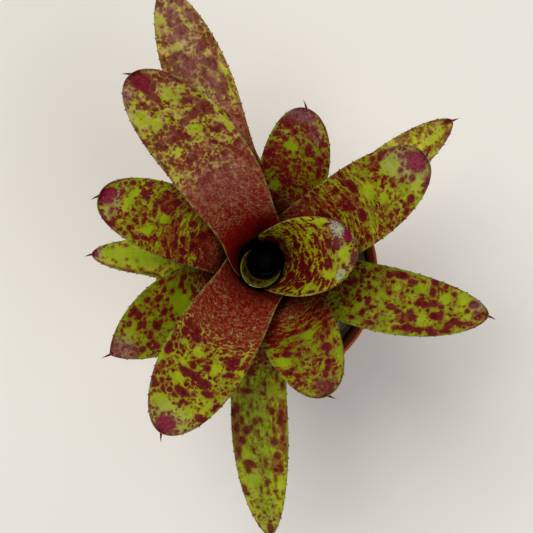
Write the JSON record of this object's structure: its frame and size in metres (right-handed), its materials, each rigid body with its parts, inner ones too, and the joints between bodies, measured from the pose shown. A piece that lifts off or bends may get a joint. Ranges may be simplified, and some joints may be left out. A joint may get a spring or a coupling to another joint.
{
  "type": "potted neoregelia bromeliad",
  "caption": "Spotted tank bromeliad with a cupped rosette of strap leaves, rooted in a round tapered nursery pot.",
  "frame": {"origin": "middle of the pot's flat underside", "axes": "+Z up the pot's axis; +Y towards the longest upper outer leaf, so the plant is longest along Y; +X to the right when it is seen from above with +Y up"},
  "size_m": [0.1879, 0.2586, 0.175],
  "materials": {
    "pot_plastic": "satin",
    "potting_mix": "matte",
    "stem_and_roots": "matte",
    "spotted_leaf": "satin",
    "flushed_leaf": "satin"
  },
  "bodies": {
    "root": {"pot": "pot_plastic", "potting_mix": "potting_mix", "stem_and_roots": "stem_and_roots", "leaf_01": "flushed_leaf", "leaf_02": "flushed_leaf", "leaf_03": "flushed_leaf", "leaf_04": "flushed_leaf", "leaf_05": "spotted_leaf", "leaf_06": "spotted_leaf", "leaf_07": "spotted_leaf", "leaf_08": "spotted_leaf", "leaf_09": "spotted_leaf", "leaf_10": "spotted_leaf", "leaf_11": "spotted_leaf", "leaf_12": "spotted_leaf", "leaf_13": "spotted_leaf", "leaf_14": "spotted_leaf"}
  },
  "joints": []
}
